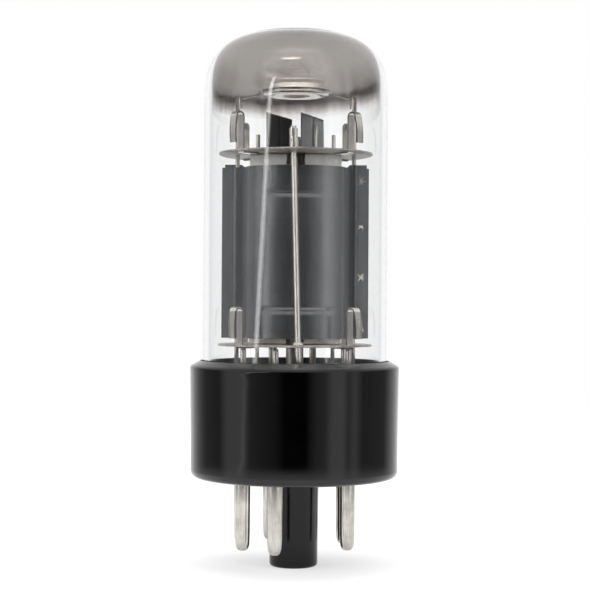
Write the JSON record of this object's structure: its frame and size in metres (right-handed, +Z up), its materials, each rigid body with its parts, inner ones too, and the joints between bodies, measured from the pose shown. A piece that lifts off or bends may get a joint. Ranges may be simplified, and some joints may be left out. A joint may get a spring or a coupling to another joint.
{
  "type": "vacuum tube",
  "caption": "Beam power tube: clear glass bulb with a silvered dome, blackened plate between mica discs, and a round black base with contact pins and a keyed post.",
  "frame": {"origin": "centre of the flat end of the locating key, the tube's lowest point", "axes": "+Z up along the tube's axis to the dome, -Y towards the side seen in the picture, +X along the plate's wings to the right in the picture"},
  "size_m": [0.0326, 0.0326, 0.0833],
  "materials": {
    "base_plastic": "glossy black phenolic moulding",
    "pin_metal": "bright plated brass with soldered tips",
    "cement": "dull tan basing cement",
    "clear_glass": "clear soda-lime glass",
    "getter_mirror": "silvery grey mirror with a brown edge",
    "getter_residue": "dark porous residue",
    "nickel": "satin nickel strip and wire",
    "mica": "sprayed grey-brown mica sheet",
    "carbonised_metal": "satin dark grey carbonised nickel",
    "cathode_coating": "white sprayed oxide",
    "heater_coating": "white alumina"
  },
  "bodies": {
    "root": {"base_shell": "base_plastic", "base_cement": "cement", "pin_1": "pin_metal", "pin_2": "pin_metal", "pin_3": "pin_metal", "pin_4": "pin_metal", "pin_5": "pin_metal", "pin_7": "pin_metal", "pin_8": "pin_metal", "glass_bulb": "clear_glass", "button_stem": "clear_glass", "getter_film": "getter_mirror", "getter_dish": "nickel", "getter_fill": "getter_residue", "getter_strip_left": "nickel", "getter_strip_right": "nickel", "lower_mica": "mica", "upper_mica": "mica", "lower_spring_left_front": "nickel", "lower_spring_left_rear": "nickel", "lower_spring_right_front": "nickel", "lower_spring_right_rear": "nickel", "upper_spring_left_front": "nickel", "upper_spring_left_rear": "nickel", "upper_spring_right_front": "nickel", "upper_spring_right_rear": "nickel", "plate_front": "carbonised_metal", "plate_rear": "carbonised_metal", "plate_rod_left": "nickel", "plate_rod_right": "nickel", "tie_rod_front": "nickel", "tie_rod_rear": "nickel", "tie_crimp_front": "nickel", "tie_crimp_rear": "nickel", "radiator_fin_left": "carbonised_metal", "radiator_fin_right": "carbonised_metal", "screen_grid": "nickel", "control_grid": "nickel", "beam_plate_left": "nickel", "beam_plate_right": "nickel", "cathode_sleeve": "cathode_coating", "heater": "heater_coating", "stem_lead_1": "nickel", "stem_lead_2": "nickel", "stem_lead_3": "nickel", "stem_lead_4": "nickel", "stem_lead_5": "nickel", "stem_lead_7": "nickel", "stem_lead_8": "nickel", "heater_strip_left": "nickel", "heater_strip_right": "nickel", "plate_strip": "nickel", "screen_strip": "nickel", "control_strip": "nickel", "cathode_strip": "nickel"}
  },
  "joints": []
}
